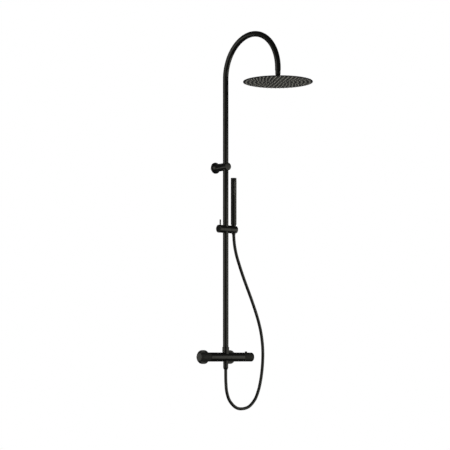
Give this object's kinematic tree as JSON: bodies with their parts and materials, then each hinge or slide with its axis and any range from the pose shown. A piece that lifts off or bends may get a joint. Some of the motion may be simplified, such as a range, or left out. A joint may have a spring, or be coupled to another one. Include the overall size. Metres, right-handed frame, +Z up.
{
  "type": "rainfall shower column",
  "caption": "Wall-mounted shower column: bar valve, tall riser with gooseneck and round rain head, sliding holder with stick hand shower and hose.",
  "frame": {"origin": "on the wall plane, midway between the two water inlets, at the height of the bar valve's axis", "axes": "+Z up, +Y into the wall, +X to the right for someone facing the wall"},
  "size_m": [0.3749, 0.609, 1.6632],
  "materials": {
    "black_coating": "satin black coating on brass and steel",
    "black_grip": "matt black, fine-grained grip",
    "brass": "turned brass",
    "steel": "plain stainless",
    "black_plastic": "moulded, matt",
    "rubber": "matt",
    "silicone": "soft grey, matt",
    "hose": "smooth black, semi-matt"
  },
  "bodies": {
    "column": {"wall_union_left": "black_coating", "wall_union_right": "black_coating", "escutcheon_left": "black_coating", "escutcheon_right": "black_coating", "union_nut_left": "black_coating", "union_nut_right": "black_coating", "filter_washer_left": "rubber", "filter_washer_right": "rubber", "valve_body": "black_coating", "thermostat_cartridge": "brass", "diverter_cartridge": "brass", "riser_nut": "black_coating", "riser_pipe": "black_coating", "joint_sleeve": "brass", "gooseneck": "black_coating", "bracket_wall_plate": "steel", "bracket_wall_screw": "steel", "bracket_flange": "black_coating", "bracket_arm": "black_coating", "bracket_grub_screw": "steel", "bracket_cap": "black_coating", "arm_nipple": "brass", "swivel_nut": "black_coating", "hose_nipple": "brass", "hose_washer_lower": "rubber", "hose_nut_lower": "black_coating", "hose": "hose"},
    "temperature_handle": {"temperature_handle": "black_grip", "temperature_cap": "black_coating", "temperature_screw": "steel", "thermostat_spindle": "brass", "button_spring": "steel"},
    "safety_button": {"safety_button": "black_plastic"},
    "flow_handle": {"flow_handle": "black_grip", "flow_cap": "black_coating", "flow_screw": "steel", "diverter_spindle": "brass"},
    "slider": {"slider_body": "black_coating", "slider_bush": "black_plastic", "brake_pad": "black_plastic", "pivot_screw": "steel", "pivot_washer": "black_plastic", "hose_top": "hose"},
    "lock_lever": {"lock_knob": "black_coating", "lock_screw": "steel", "lever_pin": "black_coating"},
    "holder": {"holder_cup": "black_coating"},
    "hand_shower": {"hand_tube": "black_coating", "hand_cap": "black_coating", "spray_insert": "black_plastic", "hand_inlet": "brass", "hose_nut_upper": "black_coating", "hose_washer_upper": "rubber"},
    "head_swivel": {"ball_seal": "rubber"},
    "head": {"ball_stem": "black_coating", "head_shell": "black_coating", "face_plate": "black_coating", "nozzle_mat": "silicone"}
  },
  "joints": [
    {"name": "temperature_turn", "type": "hinge", "parent": "column", "child": "temperature_handle", "pos_m": [0.118, -0.074, 0], "axis": [1, 0, 0], "range_deg": [-170, 60]},
    {"name": "safety_button_press", "type": "slide", "parent": "temperature_handle", "child": "safety_button", "axis": [0, 0, -1], "range_m": [0, 0.0022], "stiffness_N_per_m": 600, "deforming": ["button_spring"]},
    {"name": "flow_turn", "type": "hinge", "parent": "column", "child": "flow_handle", "pos_m": [-0.118, -0.074, 0], "axis": [1, 0, 0], "range_deg": [-90, 90]},
    {"name": "slider_height", "type": "slide", "parent": "column", "child": "slider", "axis": [0, 0, 1], "range_m": [-0.3, 0.24], "deforming": ["hose", "hose_top"]},
    {"name": "lock_lever_turn", "type": "hinge", "parent": "slider", "child": "lock_lever", "pos_m": [-0.0325, -0.074, 0.566], "axis": [1, 0, 0], "range_deg": [0, 90]},
    {"name": "holder_tilt", "type": "hinge", "parent": "slider", "child": "holder", "pos_m": [0.0463, -0.074, 0.566], "axis": [1, 0, 0], "range_deg": [-12, 40]},
    {"name": "hand_shower_turn", "type": "hinge", "parent": "holder", "child": "hand_shower", "pos_m": [0.0463, -0.074, 0.588], "axis": [0, 0, 1], "continuous": true},
    {"name": "head_turn", "type": "hinge", "parent": "column", "child": "head_swivel", "pos_m": [0, -0.424, 1.218], "axis": [0, 0, 1], "continuous": true},
    {"name": "head_tilt", "type": "hinge", "parent": "head_swivel", "child": "head", "pos_m": [0, -0.424, 1.218], "axis": [1, 0, 0], "range_deg": [-15, 15]}
  ]
}
